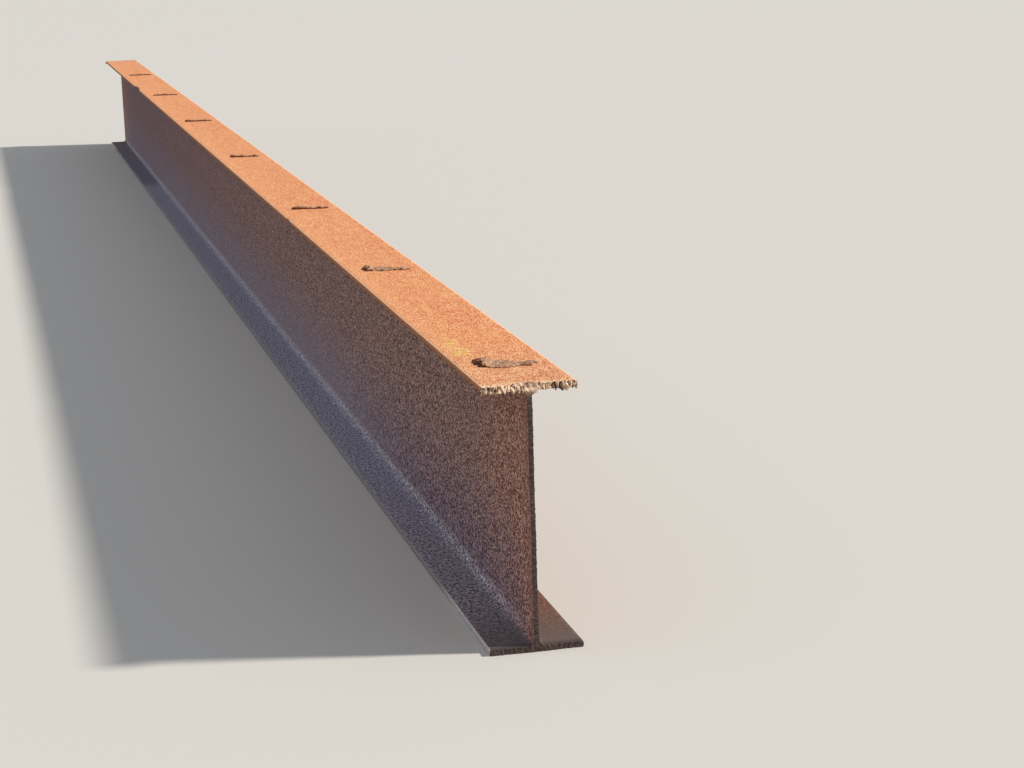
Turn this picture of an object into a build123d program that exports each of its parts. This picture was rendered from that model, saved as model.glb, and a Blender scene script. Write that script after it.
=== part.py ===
from build123d import *
import os

# Used hot-rolled steel I-beam, flame-cut to length, with remnants of welded cleats on its top flange.
# Millimetres. X runs across the flanges, Y along the beam, Z up. The origin is the middle of the underside.

# Rolled section
depth = 754.0
flange_width = 265.2
flange_thickness = 17.5
web_thickness = 12.8
root_radius = 20.0
toe_radius = 2.5

# Length over the top flange, and how far each hand-cut end runs back at the underside
length = 16000.0
near_cut_lean = 10.0
far_cut_lean = 8.0

# Weld remnants: distances from the near end, and how far each stops short of the flange's two edges
first_remnant = 305.0
near_pitch = 1910.0
near_spaces = 2
far_pitch = 2410.0
far_end_clear = 1000.0
remnant_left_margin = 62.0
remnant_right_margin = 45.0
remnant_width = 20.0
remnant_height = 11.0
remnant_corner_radius = 6.0
remnant_side_slope = 20.0

# The remnants nearest the near end are wide ones, torn rather than cut
torn_count = 2
torn_width = 90.0
torn_height = 12.0

near_end = -length / 2
far_end = length / 2


def rolled_section():
    """The I, upright in the XZ plane: two flanges and a web, with root fillets and slightly rounded toes."""
    web = Rectangle(web_thickness, depth)
    flange_offset = (depth - flange_thickness) / 2
    flanges = Locations((0, flange_offset), (0, -flange_offset)) * Rectangle(flange_width, flange_thickness)
    section = web + flanges
    corners = section.vertices()
    roots = corners.filter_by(lambda corner: abs(corner.X) < flange_width / 2 - root_radius)
    section = fillet(roots, root_radius)
    toes = section.vertices().filter_by(lambda corner: abs(corner.X) > flange_width / 2 - toe_radius)
    return fillet(toes, toe_radius)


def rolled_bar():
    """The section run along Y, with its underside at Z = 0."""
    profile = Plane.XZ * Pos(0, depth / 2) * rolled_section()
    return extrude(profile, amount=length / 2, both=True)


def cut_plane(end, lean):
    """A cut across the beam through the top flange's end, leaning back towards the middle at the underside."""
    inwards = -1 if end > 0 else 1
    return Plane(origin=(0, end, depth), x_dir=(1, 0, 0), z_dir=(0, inwards * depth, lean))


def weld_remnant(station, width, height):
    """The stub of a cleat and its weld across the top flange, with sloping sides and rounded corners."""
    left_end = -flange_width / 2 + remnant_left_margin
    right_end = flange_width / 2 - remnant_right_margin
    middle = (left_end + right_end) / 2
    plan = RectangleRounded(right_end - left_end, width, remnant_corner_radius)
    foot = Pos(middle, near_end + station, depth) * plan
    return extrude(foot, amount=height, taper=remnant_side_slope)


def remnant_stations():
    """Distances from the near end: three at the close pitch, then the wide pitch to the far end."""
    stations = [first_remnant + near_pitch * step for step in range(near_spaces + 1)]
    while stations[-1] + far_pitch < length - far_end_clear:
        stations.append(stations[-1] + far_pitch)
    return stations


beam = rolled_bar()
beam = split(beam, bisect_by=cut_plane(near_end, near_cut_lean), keep=Keep.TOP)
beam = split(beam, bisect_by=cut_plane(far_end, far_cut_lean), keep=Keep.TOP)
stations = remnant_stations()
for station in stations[:torn_count]:
    beam += weld_remnant(station, torn_width, torn_height)
for station in stations[torn_count:]:
    beam += weld_remnant(station, remnant_width, remnant_height)

os.makedirs("parts", exist_ok=True)
export_step(beam, "parts/beam.step")
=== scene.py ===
import bmesh
import bpy
import numpy as np
from mathutils import Matrix, Vector


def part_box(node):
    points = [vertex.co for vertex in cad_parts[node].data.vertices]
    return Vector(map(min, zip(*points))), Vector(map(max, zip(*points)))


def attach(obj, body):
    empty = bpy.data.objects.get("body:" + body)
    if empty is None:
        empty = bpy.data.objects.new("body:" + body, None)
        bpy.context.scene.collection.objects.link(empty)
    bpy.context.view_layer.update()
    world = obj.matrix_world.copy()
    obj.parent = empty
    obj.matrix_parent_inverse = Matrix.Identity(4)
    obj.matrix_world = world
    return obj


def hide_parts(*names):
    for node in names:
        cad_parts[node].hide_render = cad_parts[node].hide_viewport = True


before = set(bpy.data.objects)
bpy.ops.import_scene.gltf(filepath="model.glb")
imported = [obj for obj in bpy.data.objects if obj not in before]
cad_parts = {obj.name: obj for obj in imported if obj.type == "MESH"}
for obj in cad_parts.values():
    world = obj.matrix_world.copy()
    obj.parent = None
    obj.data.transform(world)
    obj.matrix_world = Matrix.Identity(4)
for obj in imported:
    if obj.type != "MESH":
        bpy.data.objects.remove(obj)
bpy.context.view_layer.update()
low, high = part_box("beam")


# The rolled bar: one hot-rolled I-section of structural steel, web, flanges and root fillets in one piece.
# It came off the mill with a skin of scale and has since rusted all over. Both ends were cut by hand with a
# torch, so they are ragged: comb-like drag lines, melted lumps, and slag that hangs over the edges.

DEPTH = 0.754
WEB = 0.0128
FLANGE = 0.0175
ROOT_RADIUS = 0.020
TOE_RADIUS = 0.0025
NEAR_LEAN = 0.010
FAR_LEAN = 0.008
HALF_WIDTH = high.x
NEAR_END = low.y
FAR_END = high.y

# Spaces between points along each run of a quarter of the outline: web, root fillet, inner face, toe arc,
# toe, toe arc, and the outer face in two parts, over the inner face and over the root fillet and web. The
# ends have all these points, and the bar between them keeps one of every few.
END_SPACES = (216, 16, 88, 2, 6, 2, 88, 6)
KEPT_EVERY = (12, 4, 11, 1, 3, 1, 11, 3)
ACROSS_WEB = 2 * END_SPACES[7]
ACROSS_FLANGE = sum(END_SPACES[3:6])


def lumps(x, y, z, size, seed):
    """Smooth random relief from -1 to 1 with lumps of the given size: random values on a lattice of cubes,
    blended between the eight nearest corners with a smoothstep along each axis."""
    span = 64
    lattice = np.random.default_rng(seed).uniform(-1.0, 1.0, (span, span, span))
    x, y, z = np.broadcast_arrays(x, y, z)
    scaled = [axis / size + 1000.0 for axis in (x, y, z)]
    corner = [np.floor(axis).astype(int) for axis in scaled]
    blend = [axis - base for axis, base in zip(scaled, corner)]
    blend = [share * share * (3.0 - 2.0 * share) for share in blend]
    relief = np.zeros(x.shape)
    for step in np.ndindex(2, 2, 2):
        weight = np.ones(x.shape)
        for share, side in zip(blend, step):
            weight = weight * (share if side else 1.0 - share)
        place = tuple((base + side) % span for base, side in zip(corner, step))
        relief += weight * lattice[place]
    return relief


def straight_run(start, end, normal, spaces):
    """Points evenly spaced from start up to but not including end, with the run's outward normal."""
    share = np.arange(spaces)[:, None] / spaces
    points = np.array(start) * (1 - share) + np.array(end) * share
    return points, np.tile(normal, (spaces, 1))


def arc_run(centre, radius, first, last, side, spaces):
    """Points along a quarter circle from angle first to last; side is 1 where the steel lies inside it."""
    angle = first + (last - first) * np.arange(spaces) / spaces
    spoke = np.stack([np.cos(angle), np.sin(angle)], axis=1)
    return np.array(centre) + radius * spoke, side * spoke


def whole_outline():
    """The closed I, anticlockwise seen from the near end, with Z from the underside. A quarter of it runs
    from the middle of the web's right face to the middle of the top, as straight runs joined by quarter
    circles. The other three are its mirror images. Gives points and outward normals, both in X and Z."""
    face, inner, outer = WEB / 2, DEPTH / 2 - FLANGE, DEPTH / 2
    fillet_low, fillet_out, toe = inner - ROOT_RADIUS, face + ROOT_RADIUS, HALF_WIDTH - TOE_RADIUS
    right, up, down, quarter = (1.0, 0.0), (0.0, 1.0), (0.0, -1.0), np.pi / 2
    low_toe, high_toe = inner + TOE_RADIUS, outer - TOE_RADIUS
    runs = [
        straight_run((face, 0.0), (face, fillet_low), right, END_SPACES[0]),
        arc_run((fillet_out, fillet_low), ROOT_RADIUS, np.pi, quarter, -1, END_SPACES[1]),
        straight_run((fillet_out, inner), (toe, inner), down, END_SPACES[2]),
        arc_run((toe, low_toe), TOE_RADIUS, -quarter, 0.0, 1, END_SPACES[3]),
        straight_run((HALF_WIDTH, low_toe), (HALF_WIDTH, high_toe), right, END_SPACES[4]),
        arc_run((toe, high_toe), TOE_RADIUS, 0.0, quarter, 1, END_SPACES[5]),
        straight_run((toe, outer), (fillet_out, outer), up, END_SPACES[6]),
        straight_run((fillet_out, outer), (0.0, outer), up, END_SPACES[7]),
        (np.array([[0.0, outer]]), np.array([up])),
    ]
    rings = []
    for quarter_run in (np.concatenate([run[part] for run in runs]) for part in (0, 1)):
        onward, back = quarter_run[:-1], quarter_run[:0:-1]
        quarters = [onward, back * (-1, 1), onward * (-1, -1), back * (1, -1)]
        rings.append(np.concatenate(quarters))
    return rings[0] + (0.0, DEPTH / 2), rings[1]


outline, outline_normal = whole_outline()
RING = len(outline)
QUARTER = RING // 4
INNER_START = sum(END_SPACES[:2])
TOE_START = sum(END_SPACES[:3])
OUTER_START = sum(END_SPACES[:6])


def kept_points():
    """Numbers of the outline's points that the bar keeps between its ends, in a quarter and its images."""
    run_start = np.concatenate([[0], np.cumsum(END_SPACES)[:-1]])
    onward = np.concatenate([start + np.arange(0, spaces, every)
                             for start, spaces, every in zip(run_start, END_SPACES, KEPT_EVERY)])
    back = np.append(onward, QUARTER)[:0:-1]
    return np.concatenate([onward, 2 * QUARTER - back, 2 * QUARTER + onward, RING - back])


kept = kept_points()

# Drag lines of the cut, coarse and fine: width, stretch through the plate's thickness, and step of the seed
DRAG_LINES = ((0.0044, 0.22, 1), (0.0024, 0.40, 8))

# Where the torch strayed over the near end's top flange: place in X, reach to each side, and depth of cut
SWING = (-0.100, 0.036, -0.015)
BITE = (-0.012, 0.030, 0.024)

# Behind a cut: where its rows of points stand, how far its slag, its relief and its texture reach, and how
# high the texture is from groove to crest
END_ROWS = np.array([0.0, 0.0012, 0.0028, 0.005, 0.008, 0.013, 0.021, 0.034])[:, None]
SLAG_REACH = 0.0045
RELIEF_REACH = 0.05
TEXTURE_REACH = 0.008
TEXTURE_HEIGHT = 0.008


def in_top_flange(z):
    """1 in the top flange, falling to 0 over the height of its root fillets."""
    return np.clip((z - (DEPTH - FLANGE - ROOT_RADIUS)) / ROOT_RADIUS, 0.0, 1.0)


def cut_relief(x, z, seed):
    """How far a torch-cut end stands back at a place in the section, as two parts: a slow wander of the
    hand, and a texture of melted lumps, grit and drag lines. Drag lines are lumps stretched through the
    plate's thickness, along Z in a flange and X in the web. The top flange was cut first and worst."""
    edge = np.abs(z - DEPTH / 2) - (DEPTH / 2 - FLANGE - ROOT_RADIUS)
    in_flange = np.clip(edge / ROOT_RADIUS, 0.0, 1.0)
    drag_flange = sum(lumps(x, 0.0, z * stretch, width, seed + step) for width, stretch, step in DRAG_LINES)
    drag_web = sum(lumps(x * stretch, 0.0, z, width, seed + step + 1) for width, stretch, step in DRAG_LINES)
    drag = 0.6 * (drag_flange * in_flange + drag_web * (1.0 - in_flange))
    wander = lumps(x, 0.0, z, 0.11, seed + 3)
    melt = lumps(x, 0.0, z, 0.012, seed + 4)
    grit = lumps(x, 0.0, z, 0.0028, seed + 5)
    rough = 0.35 + 0.65 * in_top_flange(z)
    return 0.0030 * wander, rough * (0.0012 * melt + 0.0046 * drag + 0.0009 * grit)


def near_hand(x, z):
    """How far the near end stands back where the torch strayed over the top flange, as two bell curves: it
    swung out towards the left, then bit in beside the web, deeper at the top face than at the underside."""
    through = np.clip((z - (DEPTH - FLANGE)) / FLANGE, 0.0, 1.0)
    swing, bite = (deep * np.exp(-((x - place) / reach) ** 2) for place, reach, deep in (SWING, BITE))
    return (swing + bite * through) * in_top_flange(z)


def slag(points, normals, seed):
    """How far slag hangs out over the outline's edge, none to a few millimetres, as drops and smaller beads:
    most where the face looks down, less on the sides, and none on the underside."""
    x, z = points[:, 0], points[:, 1]
    drops = np.clip(lumps(x, 0.0, z, 0.0046, seed + 6) + 0.30, 0.0, 1.0) ** 1.5
    beads = np.clip(lumps(x, 0.0, z, 0.0025, seed + 7), 0.0, 1.0)
    downward = np.clip(-normals[:, 1], 0.0, 1.0) * (z > FLANGE)
    sideways = np.abs(normals[:, 0])
    share = (0.15 + 0.85 * downward + 0.40 * sideways) * (0.3 + 0.7 * in_top_flange(z)) * (z > 0.002)
    return (0.0085 * drops + 0.0034 * beads) * share


def grid_quads(rows, columns, start, closed):
    """Corner numbers of a grid's quads, its points laid row by row; closed joins the last column to the
    first."""
    across = np.arange(columns if closed else columns - 1)
    along = np.arange(rows - 1)[:, None]
    here = along * columns + across
    beside = along * columns + (across + 1) % columns
    quads = np.stack([here, beside, beside + columns, here + columns], axis=-1)
    return quads.reshape(-1, 4) + start


def end_rows(seed):
    """X and Z of the rows beside a cut: the full outline moved out by the slag, which dies away behind it."""
    hang = slag(outline, outline_normal, seed)[None, :] * np.exp(-(END_ROWS / SLAG_REACH) ** 1.5)
    x = outline[None, :, 0] + outline_normal[None, :, 0] * hang
    z = outline[None, :, 1] + outline_normal[None, :, 1] * hang
    return x, z


def cut_y(x, z, inwards, end, side, lean, seed):
    """Y of a place on or behind the cut: the end's place, its lean and its relief, which fade inwards. With
    it comes how proud the place stands of the cut, from 0 in a groove to 1 on a crest."""
    fade = np.clip(1.0 - inwards / RELIEF_REACH, 0.0, 1.0)
    hand = near_hand(x, z) if end == NEAR_END else 0.0
    wander, texture = cut_relief(x, z, seed)
    back_off = lean * (1.0 - z / DEPTH) + (wander + hand + texture * np.exp(-inwards / TEXTURE_REACH)) * fade
    return end + side * (inwards + back_off), np.clip(0.5 - texture / TEXTURE_HEIGHT, 0.0, 1.0)


def cut_face(x, z):
    """Grids of X and Z that fill the I inside its outermost row: the web with its root fillets, row by row
    from the left to the right face; each flange, column by column from its inner to its outer face; and the
    four toes."""
    ring = np.stack([x, z], axis=-1)
    half = np.arange(-INNER_START, INNER_START + 1)
    across = np.linspace(0.0, 1.0, ACROSS_WEB + 1)[None, :, None]
    web = ring[half % RING][:, None] * (1 - across) + ring[(2 * QUARTER - half) % RING][:, None] * across
    grids = [web]
    for sign, web_edge in ((1, web[-1]), (-1, web[0])):
        right = np.arange(TOE_START, INNER_START, -1)
        left = 2 * QUARTER - right[::-1]
        inner = np.concatenate([ring[(sign * right) % RING], web_edge, ring[(sign * left) % RING]])
        outer = ring[(sign * np.arange(OUTER_START, 2 * QUARTER - OUTER_START + 1)) % RING]
        through = np.linspace(0.0, 1.0, ACROSS_FLANGE + 1)[None, :, None]
        flange = inner[:, None] * (1 - through) + outer[:, None] * through
        grids.append(flange)
        right_toe = np.arange(TOE_START, OUTER_START + 1)
        for edge, toe in ((flange[0], right_toe), (flange[-1], 2 * QUARTER - right_toe)):
            grids.append(np.stack([edge, ring[(sign * toe) % RING]]))
    return grids


# Dents in the top flange's left toe: place in Y, depth, and reach to each side
DENTS = ((4.30, 0.012, 0.24), (-4.18, 0.004, 0.06))


def bar_stations():
    """Places along the bar for its coarse rows: closer together near both ends and at the dents."""
    from_end = np.array([0.05, 0.07, 0.095, 0.13, 0.18, 0.25, 0.34, 0.45, 0.58, 0.72, 0.88])
    middle = np.arange(NEAR_END + 1.0, FAR_END - 0.95, 0.1)
    at_dents = [place + reach * np.linspace(-1.1, 1.1, 15) for place, _, reach in DENTS]
    stations = np.concatenate([NEAR_END + from_end, middle, *at_dents, FAR_END - from_end])
    return np.unique(np.round(stations, 4))


def bar_wave(x, y, z):
    """How far the coarse rows stand out of true: slow waves of the web and fainter ones of the flanges,
    which settle towards the ends and spare the underside, and dents in the top flange's left toe."""
    settle = np.clip((FAR_END - np.abs(y)) / 0.6, 0.0, 1.0)
    web_wave = 0.0009 * np.sign(x) * lumps(0.0, y, z, 0.45, 11)
    flange_wave = 0.0003 * lumps(x, y, z, 0.25, 12)
    out = np.where(np.abs(x) < WEB, web_wave, flange_wave) * settle
    out = np.where(z < 0.0005, 0.0, out)
    left_toe = (x < -HALF_WIDTH + 2 * TOE_RADIUS) & (z > DEPTH / 2)
    for place, deep, reach in DENTS:
        dip = np.clip(1.0 - ((y - place) / reach) ** 2, 0.0, 1.0)
        out = out - np.where(left_toe, deep * dip ** 1.5, 0.0)
    return out


def coarse_rows():
    """The bar between its ends: the kept points of the outline at each station, moved out by the waves and
    dents. The ends' lean carries on and fades over one metre."""
    stations = bar_stations()[:, None]
    x = np.broadcast_to(outline[kept, 0], (len(stations), len(kept)))
    z = np.broadcast_to(outline[kept, 1], x.shape)
    y = np.broadcast_to(stations, x.shape)
    out = bar_wave(x, y, z)
    x = x + outline_normal[kept, 0] * out
    z = z + outline_normal[kept, 1] * out
    lean = np.where(y < 0, NEAR_LEAN, -FAR_LEAN) * np.clip(1.0 - (FAR_END - np.abs(y)), 0.0, 1.0)
    return np.stack([x, y + lean * (1.0 - z / DEPTH), z], axis=-1)


def stitch(fine_start, coarse_start):
    """Triangles between a fine ring and a coarse one: each short edge goes to the nearer end of the long
    edge beside it, and each long edge to the fine point opposite its middle."""
    fine = np.arange(RING)
    coarse = np.arange(len(kept))
    parent = np.searchsorted(kept, fine, side="right") - 1
    gap = np.diff(np.append(kept, RING))
    late = (fine - kept[parent]) >= (gap[parent] + 1) // 2
    apex = (parent + late) % len(kept)
    middle = (kept + (gap + 1) // 2) % RING
    short = np.stack([fine + fine_start, (fine + 1) % RING + fine_start, apex + coarse_start], axis=1)
    next_coarse = (coarse + 1) % len(kept)
    long = np.stack([coarse + coarse_start, next_coarse + coarse_start, middle + fine_start], axis=1)
    return short.tolist() + long.tolist()


def rolled_bar():
    """The whole bar as one closed skin: at each end the cut face and the fine rows beside it, between them
    the coarse rows, and stitches where fine meets coarse. Gives points, faces, which faces are cut, and how
    proud points are."""
    points, faces, cut, proud, joins = [], [], [], [], []
    count = 0
    for end, side, lean, seed in ((NEAR_END, 1, NEAR_LEAN, 100), (FAR_END, -1, FAR_LEAN, 200)):
        x, z = end_rows(seed)
        joins.append(count + (len(END_ROWS) - 1) * RING)
        grids = [(x, z, END_ROWS, True)]
        grids += [(grid[..., 0], grid[..., 1], 0.0, False) for grid in cut_face(x[0], z[0])]
        for grid_x, grid_z, inwards, closed in grids:
            grid_y, crest = cut_y(grid_x, grid_z, inwards, end, side, lean, seed)
            quads = grid_quads(grid_x.shape[0], grid_x.shape[1], count, closed)
            points.append(np.stack([grid_x, grid_y, grid_z], axis=-1).reshape(-1, 3))
            faces += quads.tolist()
            cut.append(np.arange(len(quads)) < (RING if closed else len(quads)))
            proud.append(crest.reshape(-1))
            count += grid_x.size
    between = coarse_rows()
    rows, columns = between.shape[:2]
    quads = grid_quads(rows, columns, count, True).tolist()
    for fine_start, coarse_start in zip(joins, (count, count + (rows - 1) * columns)):
        quads += stitch(fine_start, coarse_start)
    points.append(between.reshape(-1, 3))
    faces += quads
    cut.append(np.zeros(len(quads), bool))
    proud.append(np.full(rows * columns, 0.5))
    return np.concatenate(points), faces, np.concatenate(cut), np.concatenate(proud)


def piece(name, points, faces, doubles, slots=None, proud=None):
    """One object with smooth faces out of points and corner numbers. Points less than doubles apart are
    merged, and then the faces are turned outwards. Slots are the faces' material slots, and proud is a value
    for each point."""
    made = bpy.data.meshes.new(name)
    made.from_pydata(points.tolist(), [], faces)
    made.polygons.foreach_set("use_smooth", np.ones(len(faces), bool))
    if slots is not None:
        made.polygons.foreach_set("material_index", slots.astype(np.int32))
    if proud is not None:
        made.attributes.new("proud", "FLOAT", "POINT").data.foreach_set("value", proud.astype(np.float32))
    shell = bmesh.new()
    shell.from_mesh(made)
    bmesh.ops.remove_doubles(shell, verts=shell.verts, dist=doubles)
    bmesh.ops.recalc_face_normals(shell, faces=shell.faces)
    shell.to_mesh(made)
    shell.free()
    thing = bpy.data.objects.new(name, made)
    bpy.context.scene.collection.objects.link(thing)
    return thing


points, faces, cut, proud = rolled_bar()
bar = piece("rolled_bar", points, faces, 1e-6, cut, proud)
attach(bar, "root")
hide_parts("beam")


def linear(hex_colour):
    """An sRGB hex colour as linear red, green, blue and alpha."""
    channels = [int(hex_colour[place:place + 2], 16) / 255 for place in (1, 3, 5)]
    return [c / 12.92 if c <= 0.04045 else ((c + 0.055) / 1.055) ** 2.4 for c in channels] + [1.0]


def add(tree, kind, values=None, links=None, **settings):
    """Adds one node: settings are its properties, values its unlinked inputs, and links what feeds its
    other inputs, sockets or nodes. A node stands for the first of its outputs that is in use."""
    made = tree.nodes.new(kind)
    for name, value in settings.items():
        setattr(made, name, value)
    for name, value in (values or {}).items():
        made.inputs[name].default_value = value
    for name, source in (links or {}).items():
        if isinstance(source, bpy.types.Node):
            source = next(output for output in source.outputs if output.enabled)
        tree.links.new(source, made.inputs[name])
    return made


# The Mix node's sockets by number, since their names repeat: the factor, two colours or two plain values
# going in, and the colour coming out
FACTOR, COLOUR_A, COLOUR_B = 0, 6, 7
VALUE_A, VALUE_B = 2, 3
COLOUR_OUT = 2


# Weathered rust over mill scale: matt, with pits and scabs of 4 to 26 mm in broad blotches. It is bleached
# orange on top, brown on the shaded left side, where rain drew streaks down the web, plain brown on the sunny
# right side, and scorched beside the cuts. On the left side the web's purple and the slate grey of the lower
# flange, where clods of dirt lie, are a painted tint of the sky light in the shade.

# Widths of its patterns. Real pits are finer: the first three are drawn as coarse as it takes to show them.
STREAKS_WIDE = 0.003906
GRIT_WIDE = 0.003774
PITS_WIDE = 0.00625
CLODS_WIDE = 0.009091
SCABS_WIDE = 0.02632
BLOTCHES_WIDE = 0.3846

rust = bpy.data.materials.new("weathered_rust")
rust.use_nodes = True
tree = rust.node_tree
shader = tree.nodes["Principled BSDF"]
place = add(tree, "ShaderNodeTexCoord").outputs["Object"]
axes = add(tree, "ShaderNodeSeparateXYZ", links={"Vector": place}).outputs

# The patterns: rolled ones drawn out along the bar, streaks down the web as well, and dirt less so
rolled = add(tree, "ShaderNodeMapping", {"Scale": (1.0, 0.30, 1.0)}, {"Vector": place})
rained = add(tree, "ShaderNodeMapping", {"Scale": (1.0, 0.34, 0.68)}, {"Vector": place})
lying = add(tree, "ShaderNodeMapping", {"Scale": (1.0, 0.60, 1.0)}, {"Vector": place})
streaks, grit, pits, scabs = (
    add(tree, "ShaderNodeTexNoise", {"Scale": 1 / width, "Detail": 2.0, "Roughness": 0.6}, {"Vector": drawn})
    for width, drawn in ((STREAKS_WIDE, rained), (GRIT_WIDE, rolled), (PITS_WIDE, rolled),
                         (SCABS_WIDE, rolled))
)
clods = add(tree, "ShaderNodeTexNoise", {"Scale": 1 / CLODS_WIDE, "Detail": 2.0, "Roughness": 0.7},
            {"Vector": lying})
blotches = add(tree, "ShaderNodeTexNoise", {"Scale": 1 / BLOTCHES_WIDE, "Detail": 4.0, "Roughness": 0.6},
               {"Vector": rolled})
scabby = add(tree, "ShaderNodeMath", {1: 0.16}, {0: scabs, 2: grit}, operation="MULTIPLY_ADD")
speck = add(tree, "ShaderNodeMapRange", {"From Min": 0.435, "From Max": 0.645}, {"Value": streaks})
fine_speck = add(tree, "ShaderNodeMapRange", {"From Min": 0.505, "From Max": 0.665}, {"Value": scabby})
clod = add(tree, "ShaderNodeMapRange", {"From Min": 0.37, "From Max": 0.67}, {"Value": clods})
cloudy = add(tree, "ShaderNodeMapRange", {"From Min": 0.36, "From Max": 0.64}, {"Value": blotches})

# What its zones go by: distance from the web's middle and from the nearer cut, and 1 left of the web
from_web = add(tree, "ShaderNodeMath", links={0: axes["X"]}, operation="ABSOLUTE")
from_middle = add(tree, "ShaderNodeMath", links={0: axes["Y"]}, operation="ABSOLUTE")
from_cut = add(tree, "ShaderNodeMath", {0: FAR_END}, {1: from_middle}, operation="SUBTRACT")
# Left of the web, the web and the lower flange carry a painted cool tint of the sky light in their shade
left_side = add(tree, "ShaderNodeMapRange", {"From Min": 0.002, "From Max": -0.002}, {"Value": axes["X"]})

# The web's left face: purple low down, a painted tint of the sky light in its shade, darker and mauve along
# the bar, a painted sky sheen, with pale powder at its foot, and warm, then scorched, towards the cuts
web_low = add(tree, "ShaderNodeMapRange", {"From Min": 0.40, "From Max": 0.05}, {"Value": axes["Z"]})
off_cut = add(tree, "ShaderNodeMapRange", {"From Min": 0.05, "From Max": 0.30, "To Min": 0.30},
              {"Value": from_cut})
# Purple low down on the left web: a painted tint of sky light in the shade, less of it near the cuts
painted_sky_tint = add(tree, "ShaderNodeMath", links={0: off_cut, 1: web_low}, operation="MULTIPLY")
web_dark = add(tree, "ShaderNodeMix", {COLOUR_A: linear("#5E3226"), COLOUR_B: linear("#4C3240")},
               {FACTOR: painted_sky_tint}, data_type="RGBA")
web_light = add(tree, "ShaderNodeMix", {COLOUR_A: linear("#FFCEBE"), COLOUR_B: linear("#E4C6D4")},
                {FACTOR: painted_sky_tint}, data_type="RGBA")
web_coat = add(tree, "ShaderNodeMix", links={FACTOR: speck, COLOUR_A: web_dark, COLOUR_B: web_light},
               data_type="RGBA")
# Darker and mauve towards the far end: a painted sheen of sky light, seen at a grazing angle
far_sheen = add(tree, "ShaderNodeMapRange",
              {"From Min": NEAR_END + 1.5, "From Max": NEAR_END + 13.0, "To Max": 0.60}, {"Value": axes["Y"]})
powdered = add(tree, "ShaderNodeMapRange",
               {"From Min": NEAR_END + 1.4, "From Max": NEAR_END + 3.4, "To Max": 0.36}, {"Value": axes["Y"]})
powder = add(tree, "ShaderNodeMath", links={0: powdered, 1: web_low}, operation="MULTIPLY")
warmed = add(tree, "ShaderNodeMapRange", {"From Min": 1.00, "From Max": 0.10, "To Max": 0.45},
             {"Value": from_cut}, interpolation_type="SMOOTHSTEP")
scorched = add(tree, "ShaderNodeMapRange", {"From Min": 0.10, "From Max": 0.02, "To Max": 0.45},
               {"Value": from_cut}, interpolation_type="SMOOTHSTEP")
for share, colour, blend in ((far_sheen, "#725260", "MIX"), (powder, "#D2C4D0", "MIX"),
                             (warmed, "#EAC2AA", "OVERLAY"), (scorched, "#A46E5E", "MIX")):
    web_coat = add(tree, "ShaderNodeMix", {COLOUR_B: linear(colour)}, {FACTOR: share, COLOUR_A: web_coat},
                   data_type="RGBA", blend_type=blend)

# The right side of the web: the same streaks, plain brown
sunned_dark = add(tree, "ShaderNodeMix", {COLOUR_A: linear("#54301F"), COLOUR_B: linear("#6E3A22")},
                  {FACTOR: cloudy}, data_type="RGBA")
sunned_light = add(tree, "ShaderNodeMix", {COLOUR_A: linear("#B4744C"), COLOUR_B: linear("#C8845A")},
                   {FACTOR: cloudy}, data_type="RGBA")
sunned = add(tree, "ShaderNodeMix", links={FACTOR: speck, COLOUR_A: sunned_dark, COLOUR_B: sunned_light},
             data_type="RGBA")
web_coat = add(tree, "ShaderNodeMix", links={FACTOR: left_side, COLOUR_A: sunned, COLOUR_B: web_coat},
               data_type="RGBA")

# The lower flange's upper face: clods of dirt, slate grey on the left, a painted sheen of sky light, and
# brown on the right, there darkened by painted shade; less of the sheen towards the ends, darker from 12 m
# past the near end, and plain beside the cuts, then a painted shadow right at them
# Slate grey on the left is a painted sheen of sky light; the brown on the right is partly darkened as painted
# shade
ledge_dark = add(tree, "ShaderNodeMix", {COLOUR_A: linear("#54392C"), COLOUR_B: linear("#52505F")},
                 {FACTOR: left_side}, data_type="RGBA")
ledge_light = add(tree, "ShaderNodeMix", {COLOUR_A: linear("#9C745A"), COLOUR_B: linear("#DAD6EC")},
                  {FACTOR: left_side}, data_type="RGBA")
ledge_coat = add(tree, "ShaderNodeMix", links={FACTOR: clod, COLOUR_A: ledge_dark, COLOUR_B: ledge_light},
                 data_type="RGBA")
# Warmer and darker towards the ends, where less of the painted sky sheen lies
less_sheen_near_ends = add(tree, "ShaderNodeMapRange", {"From Min": 2.2, "From Max": 0.4, "To Max": 0.85},
            {"Value": from_cut})
# Darker from 12 m past the near end on
darker_far = add(tree, "ShaderNodeMapRange",
           {"From Min": NEAR_END + 12.0, "From Max": NEAR_END + 12.4, "To Max": 0.55}, {"Value": axes["Y"]})
plain = add(tree, "ShaderNodeMapRange", {"From Min": 0.45, "From Max": 0.05, "To Max": 0.85},
            {"Value": from_cut})
# Within a few centimetres of the cuts: a painted shadow over the strip that the sun reaches there
painted_cut_shadow = add(tree, "ShaderNodeMapRange", {"From Min": 0.045, "From Max": 0.015, "To Max": 0.85},
            {"Value": from_cut})
for share, colour, blend in ((less_sheen_near_ends, "#EADCCC", "MULTIPLY"), (darker_far, "#4A4656", "MIX"),
                             (plain, "#645856", "MIX"), (painted_cut_shadow, "#39312F", "MIX")):
    ledge_coat = add(tree, "ShaderNodeMix", {COLOUR_B: linear(colour)}, {FACTOR: share, COLOUR_A: ledge_coat},
                     data_type="RGBA", blend_type=blend)
on_ledge = add(tree, "ShaderNodeMapRange", {"From Min": FLANGE + 0.0105, "From Max": FLANGE + 0.0035},
               {"Value": axes["Z"]})
sides = add(tree, "ShaderNodeMix", links={FACTOR: on_ledge, COLOUR_A: web_coat, COLOUR_B: ledge_coat},
            data_type="RGBA")

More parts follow.
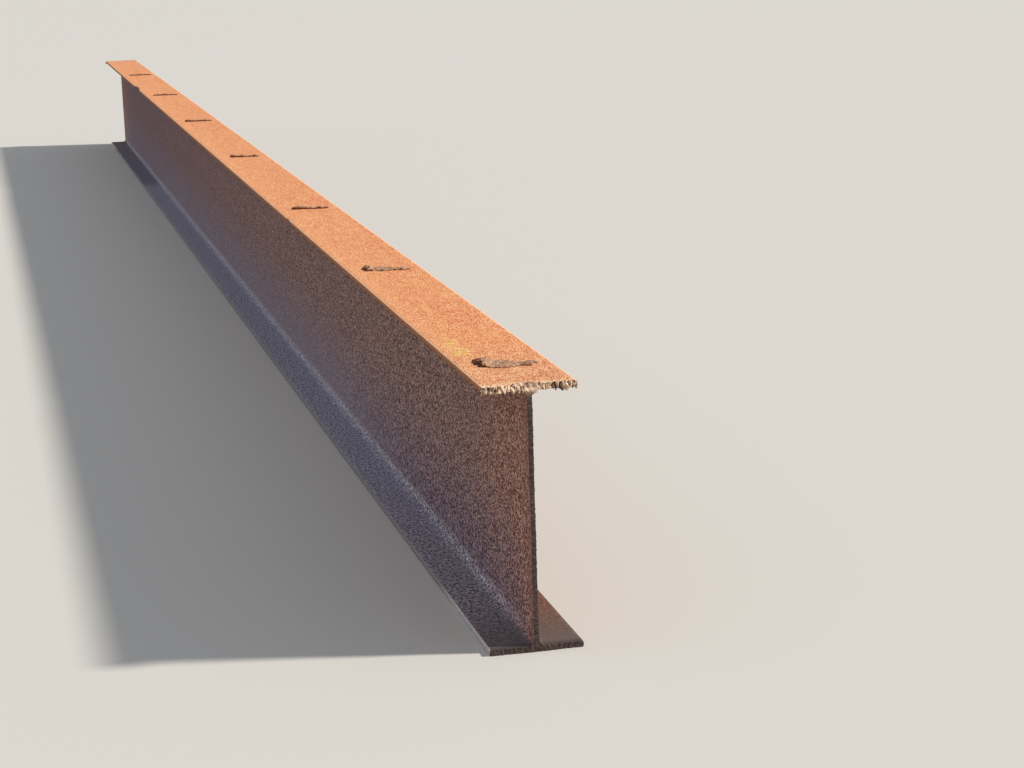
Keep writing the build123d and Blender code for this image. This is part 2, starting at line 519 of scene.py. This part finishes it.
# Pale flecks of mill scale in the lower fillet, painted brighter as the fillet's highlight where it catches
# the sky, few on the right and none beside the cuts
scale_and_highlight_share = add(tree, "ShaderNodeMapRange", {"From Min": 0.022, "From Max": 0.030}, {"Value": axes["Z"]})
for first, last, fewest, along in ((0.066, 0.044, 0.0, axes["Z"]), (0.08, 0.40, 0.0, from_cut),
                                   (0.002, -0.002, 0.15, axes["X"]), (0.515, 0.58, 0.0, clods)):
    limit = add(tree, "ShaderNodeMapRange", {"From Min": first, "From Max": last, "To Min": fewest},
                {"Value": along})
    scale_and_highlight_share = add(tree, "ShaderNodeMath", links={0: scale_and_highlight_share, 1: limit}, operation="MULTIPLY")
sides = add(tree, "ShaderNodeMix", {COLOUR_B: linear("#F2EFF2")}, {FACTOR: scale_and_highlight_share, COLOUR_A: sides},
            data_type="RGBA")

# The toes: brown at the top flange and lighter towards its top edge, painted light on the rounded toe; grey
# at the lower one and paler near the ends
on_toe = add(tree, "ShaderNodeMapRange", {"From Min": HALF_WIDTH - 0.0030, "From Max": HALF_WIDTH - 0.0015},
             {"Value": from_web})
upper = add(tree, "ShaderNodeMapRange", {"From Min": 0.3, "From Max": 0.4}, {"Value": axes["Z"]})
# Lighter towards the top of the upper toe: painted light that the upper part of the rounded toe catches
painted_toe_light = add(tree, "ShaderNodeMapRange", {"From Min": DEPTH - 0.014, "From Max": DEPTH - 0.003},
               {"Value": axes["Z"]})
toe_brown = add(tree, "ShaderNodeMix", {COLOUR_A: linear("#7A4022"), COLOUR_B: linear("#CC743A")},
                {FACTOR: painted_toe_light}, data_type="RGBA")
toe_top = add(tree, "ShaderNodeMix", {COLOUR_B: linear("#F6A86E")}, {FACTOR: speck, COLOUR_A: toe_brown},
              data_type="RGBA")
# Paler near the ends
paler_near_ends = add(tree, "ShaderNodeMapRange", {"From Min": 0.75, "From Max": 0.50}, {"Value": from_cut})
foot_dark = add(tree, "ShaderNodeMix", {COLOUR_A: linear("#8E827E"), COLOUR_B: linear("#E6D4CC")},
                {FACTOR: paler_near_ends}, data_type="RGBA")
foot_light = add(tree, "ShaderNodeMix", {COLOUR_A: linear("#CEC4C0"), COLOUR_B: linear("#FFF8F8")},
                 {FACTOR: paler_near_ends}, data_type="RGBA")
foot = add(tree, "ShaderNodeMix", links={FACTOR: speck, COLOUR_A: foot_dark, COLOUR_B: foot_light},
           data_type="RGBA")
foot = add(tree, "ShaderNodeMix", {COLOUR_A: linear("#74503C")}, {FACTOR: left_side, COLOUR_B: foot},
           data_type="RGBA")
toe_coat = add(tree, "ShaderNodeMix", links={FACTOR: upper, COLOUR_A: foot, COLOUR_B: toe_top},
               data_type="RGBA")
sides = add(tree, "ShaderNodeMix", links={FACTOR: on_toe, COLOUR_A: sides, COLOUR_B: toe_coat},
            data_type="RGBA")

# The top face: darker pits near the cuts, more bleached towards the left, a painted highlight pale along its
# edges and over their arcs, where they catch the light, and spattered with molten steel beside the cuts
pitted = add(tree, "ShaderNodeMapRange", {"From Min": 0.65, "From Max": 0.15, "To Max": 0.6},
             {"Value": from_cut})
top_dark = add(tree, "ShaderNodeMix", {COLOUR_A: linear("#D16832"), COLOUR_B: linear("#D66E38")},
               {FACTOR: cloudy}, data_type="RGBA")
top_dark = add(tree, "ShaderNodeMix", {COLOUR_B: linear("#B45C34")}, {FACTOR: pitted, COLOUR_A: top_dark},
               data_type="RGBA")
top_light = add(tree, "ShaderNodeMix", {COLOUR_A: linear("#FFC087"), COLOUR_B: linear("#FFC48A")},
                {FACTOR: cloudy}, data_type="RGBA")
top_light = add(tree, "ShaderNodeMix", {COLOUR_B: linear("#FFCA98")}, {FACTOR: pitted, COLOUR_A: top_light},
                data_type="RGBA")
top_coat = add(tree, "ShaderNodeMix", links={FACTOR: fine_speck, COLOUR_A: top_dark, COLOUR_B: top_light},
               data_type="RGBA")
bleached = add(tree, "ShaderNodeMapRange", {"From Min": -0.030, "From Max": -0.115, "To Max": 0.16},
               {"Value": axes["X"]})
# Pale along the edges and over their arcs: a painted highlight where the edges catch the light
painted_edge_highlight = add(tree, "ShaderNodeMapRange",
           {"From Min": HALF_WIDTH - 0.0050, "From Max": HALF_WIDTH - 0.0030, "To Max": 0.70},
           {"Value": from_web})
on_arc = add(tree, "ShaderNodeMapRange", {"From Min": HALF_WIDTH - 0.0027, "From Max": HALF_WIDTH - 0.0019},
             {"Value": from_web})
beside_cut = add(tree, "ShaderNodeMapRange", {"From Min": 0.042, "From Max": 0.015}, {"Value": from_cut})
spatter = add(tree, "ShaderNodeMapRange", {"From Min": 0.50, "From Max": 0.58}, {"Value": clods})
spattered = add(tree, "ShaderNodeMath", links={0: beside_cut, 1: spatter}, operation="MULTIPLY")
for share, colour in ((bleached, "#FFC48C"), (painted_edge_highlight, "#FFEAD2"), (on_arc, "#FFCC9E"), (spattered, "#FFEFCC")):
    top_coat = add(tree, "ShaderNodeMix", {COLOUR_B: linear(colour)}, {FACTOR: share, COLOUR_A: top_coat},
                   data_type="RGBA")
on_top = add(tree, "ShaderNodeMapRange", {"From Min": DEPTH - 0.0020, "From Max": DEPTH - 0.0008},
             {"Value": axes["Z"]})
coat = add(tree, "ShaderNodeMix", links={FACTOR: on_top, COLOUR_A: sides, COLOUR_B: top_coat},
           data_type="RGBA")

# Its fine relief: swollen scabs under pits, and under clods where dirt lies
lying_low = add(tree, "ShaderNodeMath", {1: 0.9}, {0: on_ledge}, operation="MULTIPLY")
height = add(tree, "ShaderNodeMix", links={FACTOR: lying_low, VALUE_A: pits, VALUE_B: clods},
             data_type="FLOAT")
swell = add(tree, "ShaderNodeBump", {"Strength": 0.5, "Distance": 0.0020}, {"Height": scabs})
relief = add(tree, "ShaderNodeBump", {"Strength": 0.8, "Distance": 0.0014},
             {"Height": height, "Normal": swell})
tree.links.new(coat.outputs[COLOUR_OUT], shader.inputs["Base Color"])
tree.links.new(relief.outputs["Normal"], shader.inputs["Normal"])
shader.inputs["Roughness"].default_value = 0.78
bar.data.materials.append(rust)


# Torch-cut steel: a hard crust of melted oxide, cream on its crests and dark brown in its grooves. On the web
# and the lower flange its colours are dull and dark, which is painted shade.
CRUST_GRAIN = 0.005263
crust = bpy.data.materials.new("torch_cut_crust")
crust.use_nodes = True
tree = crust.node_tree
shader = tree.nodes["Principled BSDF"]
place = add(tree, "ShaderNodeTexCoord").outputs["Object"]
height = add(tree, "ShaderNodeSeparateXYZ", links={"Vector": place}).outputs["Z"]
grain = add(tree, "ShaderNodeTexNoise", {"Scale": 1 / CRUST_GRAIN, "Detail": 3.0, "Roughness": 0.7},
            {"Vector": place})
proud_here = add(tree, "ShaderNodeAttribute", attribute_name="proud").outputs["Fac"]
grainy = add(tree, "ShaderNodeMath", {1: 0.7}, {0: grain, 2: proud_here}, operation="MULTIPLY_ADD")
crests = add(tree, "ShaderNodeMapRange", {"From Min": 0.58, "From Max": 1.02}, {"Value": grainy})
# 1 at the top flange; below it the crust's dull dark colours are painted shade
above_painted_shade = add(tree, "ShaderNodeMapRange", {"From Min": 0.715, "From Max": 0.732}, {"Value": height})
groove_colour = add(tree, "ShaderNodeMix", {COLOUR_A: linear("#2C2220"), COLOUR_B: linear("#5A3018")},
                    {FACTOR: above_painted_shade}, data_type="RGBA")
crest_colour = add(tree, "ShaderNodeMix", {COLOUR_A: linear("#5E4A44"), COLOUR_B: linear("#FFD8B4")},
                   {FACTOR: above_painted_shade}, data_type="RGBA")
crust_colour = add(tree, "ShaderNodeMix",
                   links={FACTOR: crests, COLOUR_A: groove_colour, COLOUR_B: crest_colour}, data_type="RGBA")
relief = add(tree, "ShaderNodeBump", {"Strength": 0.7, "Distance": 0.0015}, {"Height": grain})
tree.links.new(crust_colour.outputs[COLOUR_OUT], shader.inputs["Base Color"])
tree.links.new(relief.outputs["Normal"], shader.inputs["Normal"])
shader.inputs["Roughness"].default_value = 0.6
bar.data.materials.append(crust)


# The remnants: stubs of plates that were once welded across the top flange and later cut away with a torch,
# so each is one with the flange. The two nearest the near end are wide, torn and mostly melted flat, with
# beads of weld left along their near side. The others are narrow ridges.

def ridge(centres, half_width, crown, squareness, foot, ragged, seed, around):
    """A closed ridge along a path on the top flange. Across the path its profile is a superellipse,
    half_width to each side and crown high, and its lower half is a flat sole at foot below the flange's
    face. Lumps push its skin out, the more the higher up. Both ends are drawn together, where half_width
    and crown are nothing."""
    heading = np.gradient(centres, axis=0)
    heading /= np.linalg.norm(heading, axis=1)[:, None]
    aside = np.stack([-heading[:, 1], heading[:, 0]], axis=1)
    angle = np.linspace(0.0, 2 * np.pi, around, endpoint=False)[None, :]
    across = np.cos(angle)
    up = np.sign(np.sin(angle)) * (1.0 - np.abs(across) ** squareness) ** (1 / squareness)
    x = centres[:, :1] + aside[:, :1] * across * half_width[:, None]
    y = centres[:, 1:] + aside[:, 1:] * across * half_width[:, None]
    z = np.where(up > 0, up * crown[:, None], foot * np.tanh(4 * up)) * np.ones_like(x)
    size = np.minimum(crown, half_width)[:, None]
    shift = ragged * np.clip(size / ragged, 0.0, 1.0) * np.clip(up + 0.5, 0.0, 1.0)
    x = x + shift * lumps(x, y, z, 0.007, seed)
    y = y + shift * (lumps(x, y, z, 0.007, seed + 1) + 0.5 * lumps(x, y, z, 0.003, seed + 2))
    z = z + 0.6 * shift * (lumps(x, y, z, 0.006, seed + 3) + 0.5 * lumps(x, y, z, 0.003, seed + 4)) * (up > 0)
    return np.stack([x, y, z + DEPTH], axis=-1)


def skin(name, grids, painted_shades=None):
    """One object out of closed ridges: grids of points, row by row along each path, closed around it.
    Shades, one value for each point, are where it is pale; where they are low it is dark with painted shade."""
    starts = np.cumsum([0] + [grid.shape[0] * grid.shape[1] for grid in grids])
    points = np.concatenate([grid.reshape(-1, 3) for grid in grids])
    quads = np.concatenate([grid_quads(grid.shape[0], grid.shape[1], start, True)
                            for grid, start in zip(grids, starts)])
    values = None if painted_shades is None else np.concatenate([shade.reshape(-1) for shade in painted_shades])
    return piece(name, points, quads.tolist(), 1e-7, proud=values)


def remnant(station, left, right, width, taper, height, slope, sunk, uneven, skew, seed):
    """One stub and its shades. It runs across the flange, skewed so that its right end lies nearer. From
    its left end it rises within the share slope of its length and then sinks by the share sunk, and past
    its middle it narrows by the share taper. Lumps make its path, edges and crest wander, the last by
    uneven, and its left end ragged."""
    wide = width > 0.05
    rows, around = (120, 56) if wide else (54, 18)
    share = np.linspace(0.0, 1.0, rows)
    x = left + (right - left) * share
    y = NEAR_END + station + skew * (0.5 - share) + 0.06 * width * lumps(x, 0.0, 0.0, 0.030, seed + 7)
    end = np.clip(np.minimum(share, 1.0 - share) * 30, 0.0, 1.0) ** 0.4
    settled = np.clip((share - slope - 0.02) / 0.10, 0.0, 1.0)

    past_middle = np.clip((share - 0.44) / 0.26, 0.0, 1.0)
    at_start = np.clip(1.0 - share / (2 * slope), 0.0, 1.0)
    edge = 0.94 + 0.13 * lumps(x, 1.0, 0.0, 0.022, seed + 8) + 0.11 * lumps(x, 6.0, 0.0, 0.009, seed + 15)
    half_width = width / 2 * edge * end * (1.0 - taper * past_middle - 0.12 * at_start)

    bumpy = 0.3 * lumps(x, 5.0, 0.0, 0.006, seed + 12) * (share < slope)
    rise = np.clip(share / (0.7 * slope) + bumpy, 0.15, 1.0)
    tufts = np.clip(lumps(x, 3.0, 0.0, 0.012, seed + 10) - 0.2, 0.0, 1.0)
    crest = 0.92 - sunk * settled + uneven * lumps(x, 2.0, 0.0, 0.016, seed + 9) + 0.4 * tufts
    crown = height * crest * end * rise
    points = ridge(np.stack([x, y], axis=1), half_width, crown, 4.5, 0.0015, 0.0025, seed, around)

    # Its left end is torn into tongues, the far side further out
    beside = points[..., 1] - y[:, None]
    torn = 0.010 * lumps(0.0, points[..., 1], points[..., 2], 0.010, seed + 11) - 0.30 * beside
    points[..., 0] += torn * (1.0 - share[:, None]) ** 4

    # Beads of weld stand along its near side, where it is melted flat
    across = beside / np.maximum(half_width, 1e-4)[:, None]
    near_side = np.clip(1.0 - np.abs(across + 0.80) / 0.25, 0.0, 1.0) * settled[:, None]
    beads = np.clip(lumps(points[..., 0], 8.0, 0.0, 0.007, seed + 16), 0.0, 1.0) * (points[..., 2] > DEPTH)
    points[..., 2] += 0.55 * height * beads * near_side

    # It is dark on the rise, in flecks, and low on the sides of a narrow stub, and pale elsewhere: the dark
    # is painted shade of its shaded left end, of its foot and of small gaps
    above = points[..., 2] - DEPTH
    up = np.clip(above / np.maximum(above.max(axis=1, keepdims=True), 1e-6), 0.0, 1.0)
    patches = lumps(points[..., 0], 0.4 * points[..., 1], 0.0, 0.007, seed + 13)
    past_shaded_end = np.clip((share[:, None] - 0.75 * slope) / 0.05 + 0.5 + 1.8 * patches, 0.0, 1.0)
    flecks = np.clip(lumps(points[..., 0], points[..., 1], points[..., 2], 0.005, seed + 14) - 0.1, 0.0, 1.0)
    flank = np.maximum(up ** np.clip(0.016 / width, 0.35, 0.6), 0.72 * wide * settled[:, None])
    return points, past_shaded_end * (flank - 0.6 * flecks * (up < 0.9))


# Each remnant: station from the near end, left and right end, width, taper, height, slope, share sunk,
# unevenness, skew and seed
REMNANTS = (
    (0.300, -0.080, 0.086, 0.118, 0.50, 0.0130, 0.17, 0.70, 0.22, 0.066, 300),
    (2.215, -0.070, 0.088, 0.086, 0.35, 0.0130, 0.10, 0.60, 0.22, 0.050, 320),
    (4.125, -0.068, 0.088, 0.032, 0.25, 0.0135, 0.04, 0.30, 0.38, 0.030, 340),
    (6.545, -0.066, 0.088, 0.024, 0.25, 0.0120, 0.04, 0.20, 0.35, 0.030, 360),
    (8.955, -0.080, 0.088, 0.022, 0.25, 0.0110, 0.04, 0.15, 0.32, 0.030, 380),
    (11.355, -0.077, 0.091, 0.022, 0.25, 0.0105, 0.04, 0.15, 0.28, 0.045, 400),
    (13.765, -0.078, 0.095, 0.022, 0.25, 0.0105, 0.04, 0.15, 0.28, 0.045, 420),
)
stubs = skin("weld_remnants", *zip(*[remnant(*sizes) for sizes in REMNANTS]))
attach(stubs, "root")

# Torn weld steel: coarse-grained melt, dull tan on top, and dark red brown where its shading value is low,
# which is painted shade on its left end, its flanks and in flecks.
STUB_GRAIN = 0.006667
stub_steel = bpy.data.materials.new("torn_weld_steel")
stub_steel.use_nodes = True
tree = stub_steel.node_tree
shader = tree.nodes["Principled BSDF"]
place = add(tree, "ShaderNodeTexCoord").outputs["Object"]
grain = add(tree, "ShaderNodeTexNoise", {"Scale": 1 / STUB_GRAIN, "Detail": 3.0, "Roughness": 0.7},
            {"Vector": place})
crests = add(tree, "ShaderNodeMapRange", {"From Min": 0.38, "From Max": 0.64}, {"Value": grain})
proud_here = add(tree, "ShaderNodeAttribute", attribute_name="proud").outputs["Fac"]
pale = add(tree, "ShaderNodeMapRange", {"From Min": 0.45, "From Max": 0.80}, {"Value": proud_here})
flank_colour = add(tree, "ShaderNodeMix", {COLOUR_A: linear("#4C1E08"), COLOUR_B: linear("#8A461C")},
                   {FACTOR: crests}, data_type="RGBA")
crest_colour = add(tree, "ShaderNodeMix", {COLOUR_A: linear("#986541"), COLOUR_B: linear("#D8AD8B")},
                   {FACTOR: crests}, data_type="RGBA")
stub_colour = add(tree, "ShaderNodeMix", links={FACTOR: pale, COLOUR_A: flank_colour, COLOUR_B: crest_colour},
                  data_type="RGBA")
relief = add(tree, "ShaderNodeBump", {"Strength": 0.8, "Distance": 0.0015}, {"Height": grain})
tree.links.new(stub_colour.outputs[COLOUR_OUT], shader.inputs["Base Color"])
tree.links.new(relief.outputs["Normal"], shader.inputs["Normal"])
shader.inputs["Roughness"].default_value = 0.65
stubs.data.materials.append(stub_steel)


# The tally: quick strokes of yellow marking paint, brushed across the top flange near the end. The paint is
# thin and broken, because rust shows through it wherever the brush skipped the pits.

def stroke(start, end, bow, seed):
    """One brush stroke on the flange, as a flat ridge from start to end, each X and distance from the near
    end. It is bowed sideways by bow at its middle, and lumps make its width wander."""
    share = np.linspace(0.0, 1.0, 36)
    line = np.outer(1 - share, start) + np.outer(share, end) + (0.0, NEAR_END)
    aside = np.array([start[1] - end[1], end[0] - start[0]])
    line += np.outer(4 * share * (1 - share) * bow, aside / np.linalg.norm(aside))
    stop = np.clip(np.minimum(share, 1.0 - share) * 12, 0.0, 1.0) ** 0.5
    half_width = (0.0145 + 0.0035 * lumps(line[:, 0], line[:, 1], 0.0, 0.012, seed)) * stop
    return ridge(line, half_width, 0.0004 * stop, 2.0, 0.0003, 0.0001, seed, 8)


# Each stroke: start, end, bow and seed
STROKES = (
    ((-0.108, 0.490), (-0.058, 0.484), 0.005, 500),
    ((-0.098, 0.534), (-0.052, 0.528), 0.004, 550),
    ((-0.088, 0.586), (-0.044, 0.578), -0.004, 510),
    ((-0.112, 0.630), (-0.072, 0.622), 0.005, 520),
    ((-0.100, 0.684), (-0.054, 0.676), -0.004, 530),
    ((-0.080, 0.730), (-0.045, 0.724), 0.004, 540),
)
tally = skin("tally_strokes", [stroke(*sizes) for sizes in STROKES])
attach(tally, "root")

# Marking paint: matt yellow, with the rust's own orange in its gaps.
PAINT_GAPS = 0.007692
paint = bpy.data.materials.new("yellow_marking_paint")
paint.use_nodes = True
tree = paint.node_tree
shader = tree.nodes["Principled BSDF"]
place = add(tree, "ShaderNodeTexCoord").outputs["Object"]
brushed = add(tree, "ShaderNodeMapping", {"Scale": (1.0, 0.35, 1.0)}, {"Vector": place})
gaps = add(tree, "ShaderNodeTexNoise", {"Scale": 1 / PAINT_GAPS, "Detail": 3.0, "Roughness": 0.7},
           {"Vector": brushed})
covered = add(tree, "ShaderNodeMapRange", {"From Min": 0.40, "From Max": 0.60}, {"Value": gaps})
paint_colour = add(tree, "ShaderNodeMix", {COLOUR_A: linear("#E09C62"), COLOUR_B: linear("#FFDA74")},
                   {FACTOR: covered}, data_type="RGBA")
tree.links.new(paint_colour.outputs[COLOUR_OUT], shader.inputs["Base Color"])
shader.inputs["Roughness"].default_value = 0.7
tally.data.materials.append(paint)


# The floor: a plain pale surface that the bar lies on. Light bounces off it as off darker ground.
FLOOR_REACH = 400.0
corners = [(across * FLOOR_REACH, along * FLOOR_REACH, 0)
           for across, along in ((-1, -1), (1, -1), (1, 1), (-1, 1))]
floor_mesh = bpy.data.meshes.new("floor")
floor_mesh.from_pydata(corners, [], [(0, 1, 2, 3)])
floor = bpy.data.objects.new("floor", floor_mesh)
bpy.context.scene.collection.objects.link(floor)
floor_paint = bpy.data.materials.new("pale_floor")
floor_paint.use_nodes = True
tree = floor_paint.node_tree
shader = tree.nodes["Principled BSDF"]
ray = add(tree, "ShaderNodeLightPath").outputs
seen = add(tree, "ShaderNodeMath", links={0: ray["Is Camera Ray"], 1: ray["Is Glossy Ray"]},
           operation="MAXIMUM")
ground = add(tree, "ShaderNodeMix", {COLOUR_A: linear("#9A948A"), COLOUR_B: linear("#DAD7D0")},
             {FACTOR: seen}, data_type="RGBA")
tree.links.new(ground.outputs[COLOUR_OUT], shader.inputs["Base Color"])
shader.inputs["Roughness"].default_value = 0.95
floor_mesh.materials.append(floor_paint)


# The light: a low, broad sun from the right and slightly in front, and an even pale sky. The camera sees a
# backdrop of the floor's colour in place of the sky, so that no horizon shows.
SUN_TOWARDS = Vector((1.375, -0.35, 1.0))
sun_data = bpy.data.lights.new("sun", "SUN")
sun_data.energy = 3.6
sun_data.color = (1.0, 0.95, 0.88)
sun_data.angle = 0.07
sun = bpy.data.objects.new("sun", sun_data)
sun.rotation_euler = SUN_TOWARDS.to_track_quat("Z", "Y").to_euler()
bpy.context.scene.collection.objects.link(sun)
sky = bpy.data.worlds.new("sky")
sky.use_nodes = True
tree = sky.node_tree
sky_light = tree.nodes["Background"]
sky_light.inputs["Color"].default_value = linear("#E8EEF8")
sky_light.inputs["Strength"].default_value = 0.45
backdrop = add(tree, "ShaderNodeBackground", {"Color": linear("#DCD8D1")})
camera_ray = add(tree, "ShaderNodeLightPath").outputs["Is Camera Ray"]
shown = add(tree, "ShaderNodeMixShader", links={0: camera_ray, 1: sky_light, 2: backdrop})
tree.links.new(shown.outputs["Shader"], tree.nodes["World Output"].inputs["Surface"])
bpy.context.scene.world = sky


# The camera: standing to the left of the near end and above it, looking along the bar through a long lens.
CAMERA_PLACE = Vector((-1.418, -14.0975, 2.0115))
CAMERA_YAW = np.radians(12.67)
CAMERA_PITCH = np.radians(11.35)
CAMERA_ROLL = np.radians(-1.98)
camera_data = bpy.data.cameras.new("camera")
camera_data.sensor_width = 36.0
camera_data.lens = 83.62
camera = bpy.data.objects.new("camera", camera_data)
turn = (Matrix.Rotation(-CAMERA_YAW, 4, "Z") @ Matrix.Rotation(np.pi / 2 - CAMERA_PITCH, 4, "X")
        @ Matrix.Rotation(CAMERA_ROLL, 4, "Z"))
camera.matrix_world = Matrix.Translation(CAMERA_PLACE) @ turn
bpy.context.scene.collection.objects.link(camera)
bpy.context.scene.camera = camera
bpy.context.scene.view_settings.view_transform = "Standard"
